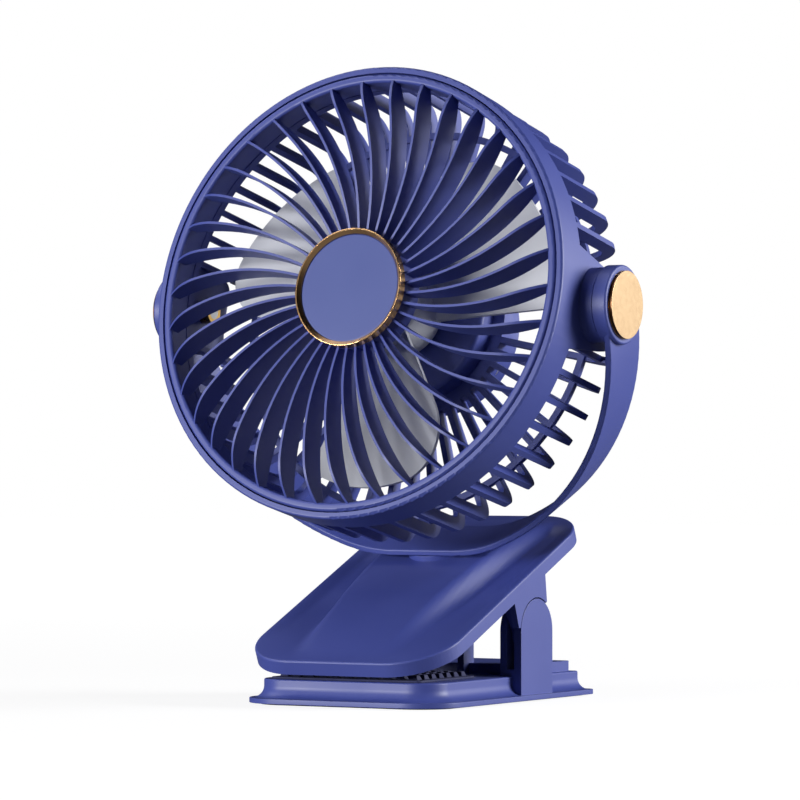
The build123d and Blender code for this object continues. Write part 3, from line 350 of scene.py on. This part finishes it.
def jaw_top_height(across, up_slope):
    """Height of the jaw's upper face over the plane of its rim."""
    side = abs(across)
    rim_share = ease(in_from_edge(across, up_slope), jaw_lip, jaw_lip + valley_rise)
    flank_place = flank_middle + flank_taper * up_slope
    flank = 1 - ease(side, flank_place - flank_half, flank_place + flank_half)
    front_fade = ease(up_slope, valley_front_start, valley_front_end)
    rear_fade = ease(jaw_rear - up_slope, valley_rear_start, valley_rear_end)
    valley = valley_depth * front_fade * rear_fade * (1 - flank) * rim_share
    return crown_line(up_slope) * flank * rim_share - valley


def in_jaw_plane(point):
    """A point of the jaw as across, up the slope and over the rim's plane, in millimetres."""
    local = point / mm - jaw_middle
    return local.x, local.dot(jaw_up), local.dot(jaw_normal)


def inside_jaw_rim(across, up_slope, margin):
    """True further in from the jaw's edge than the margin and clear of the collar's seat."""
    clear_of_collar = across**2 + (up_slope - neck_place) ** 2 > (collar_radius + collar_gap) ** 2
    return clear_of_collar and in_from_edge(across, up_slope) > margin


def on_upper_face(face):
    """True for faces that look up and lie on or over the rim's plane."""
    return face.normal.dot(jaw_normal) > facing_up and in_jaw_plane(face.center)[2] > -rim_slack


jaw = clean_copy("upper_jaw", "upper_jaw_moulded")
for face in jaw.data.polygons:
    face.select = on_upper_face(face)
bpy.ops.object.mode_set(mode="EDIT")
bpy.ops.mesh.select_mode(type="FACE")
bpy.ops.mesh.hide(unselected=True)
column = -jaw_half_width + grid_step
while column < jaw_half_width:
    bpy.ops.mesh.select_all(action="SELECT")
    bpy.ops.mesh.bisect(plane_co=(column * mm, 0, 0), plane_no=(1, 0, 0))
    column += grid_step
row = jaw_front + grid_step
while row < jaw_rear:
    bpy.ops.mesh.select_all(action="SELECT")
    bpy.ops.mesh.bisect(plane_co=(jaw_middle + row * jaw_up) * mm, plane_no=jaw_up)
    row += grid_step
bpy.ops.mesh.reveal(select=False)
bpy.ops.object.mode_set(mode="OBJECT")
upper_points = {index for face in jaw.data.polygons if on_upper_face(face) for index in face.vertices}
for point in jaw.data.vertices:
    across, up_slope, over = in_jaw_plane(point.co)
    upper = point.index in upper_points
    if not inside_jaw_rim(across, up_slope, jaw_lip if upper else hollow_margin):
        continue
    height = jaw_top_height(across, up_slope)
    if not upper:
        height = min(over, height - jaw_wall)
    point.co += (height - over) * mm * jaw_normal
round_edges(jaw, jaw_edge * mm, sharper_than=50)
settle(jaw, "jaw", ["upper_jaw"], body_blue)


# Pivot caps: a polished disc that stands on a thin flange, with an undercut between the two; the cap's
# sides carry painted shade, a dark bronze for the shade and dark reflection round the undercut
cap_flange = 0.12 * mm
cap_undercut = 0.42 * mm
cap_undercut_depth = 0.55 * mm
cap_edge = 0.09 * mm
cap_sides = 128
cap_inset_share = 0.5
facing_sideways = 0.3


def pivot_cap(hand, side):
    """A cap on one arm of the yoke, gold on its faces, with painted shade on its sides: a dark bronze in
    place of their shade and dark reflection.
    """
    node_name = "pivot_cap_" + hand
    low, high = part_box(node_name)
    middle = (Vector(low) + Vector(high)) / 2
    radius = (high[2] - low[2]) / 2
    depth = high[0] - low[0]
    seat_low, seat_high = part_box("yoke_band")
    yoke_face = seat_high[0] if side > 0 else -seat_low[0]
    outer_face = high[0] if side > 0 else -low[0]
    seat_depth = depth - (outer_face - yoke_face)
    plate = outer_face - yoke_face - cap_flange - cap_undercut
    deselect()
    bpy.ops.mesh.primitive_circle_add(
        vertices=cap_sides, radius=radius, fill_type="NGON", rotation=(0, radians(90) * side, 0)
    )
    piece = bpy.context.object
    piece.name = node_name + "_polished"
    piece.location = (side * (outer_face - depth), middle.y, middle.z)
    bpy.ops.object.transform_apply(location=True, rotation=True, scale=True)

    def raise_rim(height, widen=0.0):
        """Draws the top face outwards along the pivot, a step wider or narrower."""
        bpy.ops.mesh.extrude_region_move(TRANSFORM_OT_translate={"value": (side * height, 0, 0)})
        if widen:
            grown = 1 + widen / radius
            bpy.ops.transform.resize(value=(1, grown, grown), center_override=(0, middle.y, middle.z))

    bpy.ops.object.mode_set(mode="EDIT")
    bpy.ops.mesh.select_mode(type="FACE")
    bpy.ops.mesh.select_all(action="SELECT")
    raise_rim(seat_depth + cap_flange)
    raise_rim(0, -cap_undercut_depth)
    raise_rim(cap_undercut)
    raise_rim(0, cap_undercut_depth)
    raise_rim(plate)
    bpy.ops.mesh.inset(thickness=cap_inset_share * radius)
    bpy.ops.mesh.select_all(action="SELECT")
    bpy.ops.mesh.normals_make_consistent(inside=False)
    bpy.ops.object.mode_set(mode="OBJECT")
    round_edges(piece, cap_edge, sharper_than=30, segments=3)
    settle(piece, "yoke", [node_name], pale_gold)
    # Faces that look sideways get the dark bronze, painted shade round the cap's sides
    piece.data.materials.append(painted_shade_bronze)
    for face in piece.data.polygons:
        face.material_index = 1 if abs(face.normal.x) < facing_sideways else 0


pivot_cap("left", -1)
pivot_cap("right", 1)


# Torsion spring: round wire wound on the arbor, one leg on the base's block and one under the jaw
coil_radius, coil_pitch, wire_radius = 5.2, 2.2, 0.8
first_angle = -102.0
coil_sweep = 2278.0
coil_half = coil_pitch * coil_sweep / 360 / 2
coil_steps = 228
leg_shares = (0.25, 0.5, 0.75, 1.0)


def coil_place(step):
    """A place on the middle line of the coil's wire, in millimetres."""
    angle = radians(first_angle - coil_sweep * step / coil_steps)
    along = -coil_half + 2 * coil_half * step / coil_steps
    return Vector((along, hinge_y + coil_radius * cos(angle), hinge_z + coil_radius * sin(angle)))


coil_line = [coil_place(step) for step in range(coil_steps + 1)]
lower_way = (coil_line[0] - coil_line[1]).normalized()
upper_way = (coil_line[-1] - coil_line[-2]).normalized()
low_corner, high_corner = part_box("torsion_spring")
lower_reach = ((low_corner[2] / mm + wire_radius) - coil_line[0].z) / lower_way.z
upper_reach = ((high_corner[2] / mm - wire_radius) - coil_line[-1].z) / upper_way.z
wire_line = [coil_line[0] + lower_way * lower_reach * share for share in reversed(leg_shares)]
wire_line += coil_line
wire_line += [coil_line[-1] + upper_way * upper_reach * share for share in leg_shares]
wire = bpy.data.curves.new("spring_wire", "CURVE")
wire.dimensions = "3D"
wire.bevel_depth = wire_radius * mm
wire.bevel_resolution = 4
wire.use_fill_caps = True
run = wire.splines.new("POLY")
run.points.add(len(wire_line) - 1)
for point, where in zip(run.points, wire_line):
    point.co = (*(where * mm), 1.0)
spring = bpy.data.objects.new("torsion_spring_wire", wire)
scene.collection.objects.link(spring)
take_up(spring)
bpy.ops.object.convert(target="MESH")
spring = bpy.context.object
bpy.ops.object.mode_set(mode="EDIT")
bpy.ops.mesh.select_all(action="SELECT")
bpy.ops.mesh.remove_doubles(threshold=merge_gap)
bpy.ops.mesh.normals_make_consistent(inside=False)
bpy.ops.object.mode_set(mode="OBJECT")
bpy.ops.object.shade_smooth_by_angle(angle=radians(50))
spring.data.materials.append(spring_wire)
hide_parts("torsion_spring")
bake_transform(spring)

# Pieces hidden inside keep their CAD form
inner = {
    "motor_can": motor_steel,
    "motor_bearing": turned_brass,
    "motor_rotor": motor_steel,
    "motor_shaft": bright_zinc,
    "battery_cell": cell_foil,
    "circuit_board": board_green,
    "indicator_lens": lens_frost,
    "pivot_screw_left": bright_zinc,
    "pivot_screw_right": bright_zinc,
    "pivot_insert_left": turned_brass,
    "pivot_insert_right": turned_brass,
    "friction_washer_left": nylon,
    "friction_washer_right": nylon,
}
for name, finish in inner.items():
    cad_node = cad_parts[name]
    cad_node.data.materials.clear()
    cad_node.data.materials.append(finish)

# Floor and backdrop: white to the camera, dim in reflections, with the fan's soft shadow on the floor
white = (1, 1, 1, 1)
floor_grey = (0.2, 0.2, 0.205, 1)
floor_finish = bpy.data.materials.new("studio_white")
floor_finish.use_nodes = True
tree = floor_finish.node_tree
tree.nodes.clear()
lit = node(tree, "ShaderNodeBsdfDiffuse", {"Color": floor_grey})
distance = node(tree, "ShaderNodeVectorMath", {0: place(tree)}, operation="LENGTH").outputs["Value"]
camera_share = spread(tree, tree.nodes.new("ShaderNodeLightPath").outputs["Is Camera Ray"], 0.04, 1.0)
far_white = spread(tree, distance, 0.88, 1.0, start=0.25, end=1.3)
brightness = node(tree, "ShaderNodeMath", {0: far_white, 1: camera_share}, operation="MULTIPLY").outputs[0]
glow = node(tree, "ShaderNodeEmission", {"Color": white, "Strength": brightness})
both = node(tree, "ShaderNodeAddShader", {0: lit.outputs[0], 1: glow.outputs[0]})
chosen = node(tree, "ShaderNodeMixShader", {0: seen_rays(tree), 1: lit.outputs[0], 2: both.outputs[0]})
surface = tree.nodes.new("ShaderNodeOutputMaterial")
tree.links.new(chosen.outputs[0], surface.inputs["Surface"])
deselect()
bpy.ops.mesh.primitive_plane_add(size=6, location=(0, 0, 0))
floor = bpy.context.object
floor.name = "studio_floor"
floor.data.materials.append(floor_finish)

# Studio light: a faint even glow, two white cards that only reflections see, and two soft lamps
world = bpy.data.worlds.new("studio")
scene.world = world
world.use_nodes = True
sky = world.node_tree
sky.nodes.clear()
heading = node(sky, "ShaderNodeTexCoord").outputs["Generated"]


def card(towards, dim, bright, start, end):
    """Brightness of a card that hangs in one direction, with a soft edge from start to end."""
    facing = node(sky, "ShaderNodeVectorMath", {0: heading, 1: towards}, operation="DOT_PRODUCT")
    return spread(sky, facing.outputs["Value"], dim, bright, start, end)


soft = node(sky, "ShaderNodeBackground", {"Color": white, "Strength": 0.08})
height = node(sky, "ShaderNodeSeparateXYZ", {"Vector": heading}).outputs["Z"]
dim_overhead = spread(sky, height, 1.0, 0.12, start=0.12, end=0.6)
high_card = card((-0.5, -0.2, 0.84), dim=0.0, bright=3.5, start=0.88, end=0.95)
rear_card = card((0.5, 0.866, 0.0), dim=0.04, bright=1.2, start=0.86, end=0.97)
reflected = node(
    sky, "ShaderNodeMath", {0: rear_card, 1: dim_overhead, 2: high_card}, operation="MULTIPLY_ADD"
).outputs[0]
mirrored = node(sky, "ShaderNodeBackground", {"Color": white, "Strength": reflected})
wall = node(sky, "ShaderNodeBackground", {"Color": white, "Strength": 1.0})
camera_path = sky.nodes.new("ShaderNodeLightPath").outputs["Is Camera Ray"]
backdrop = node(sky, "ShaderNodeMixShader", {0: camera_path, 1: mirrored.outputs[0], 2: wall.outputs[0]})
either = node(sky, "ShaderNodeMixShader", {0: seen_rays(sky), 1: soft.outputs[0], 2: backdrop.outputs[0]})
out = sky.nodes.new("ShaderNodeOutputWorld")
sky.links.new(either.outputs[0], out.inputs["Surface"])


def soft_box(name, at, towards, size, power):
    """A lamp with a rectangular front, turned towards a point."""
    lamp = bpy.data.lights.new(name, "AREA")
    lamp.shape = "RECTANGLE"
    lamp.size, lamp.size_y = size
    lamp.energy = power
    stand = bpy.data.objects.new(name, lamp)
    scene.collection.objects.link(stand)
    stand.location = at
    stand.rotation_euler = (Vector(towards) - Vector(at)).to_track_quat("-Z", "Y").to_euler()


head_middle = (0, -0.02, 0.12)
soft_box("front_left", at=(-0.53, -1.20, 0.20), towards=head_middle, size=(0.8, 0.25), power=18.5)
soft_box("right_side", at=(1.08, 0.62, 0.41), towards=head_middle, size=(0.6, 0.6), power=22.5)

# Camera where the photograph was taken from
eye = bpy.data.cameras.new("camera")
eye.lens = 202.5
eye.sensor_width = 36
camera = bpy.data.objects.new("camera", eye)
scene.collection.objects.link(camera)
camera.location = (0.76757, -1.3341, 0.08765)
aim = Vector((0.00331, -0.0178, 0.10225)) - camera.location
camera.rotation_euler = aim.to_track_quat("-Z", "Y").to_euler()
scene.camera = camera

scene.view_settings.view_transform = "Standard"
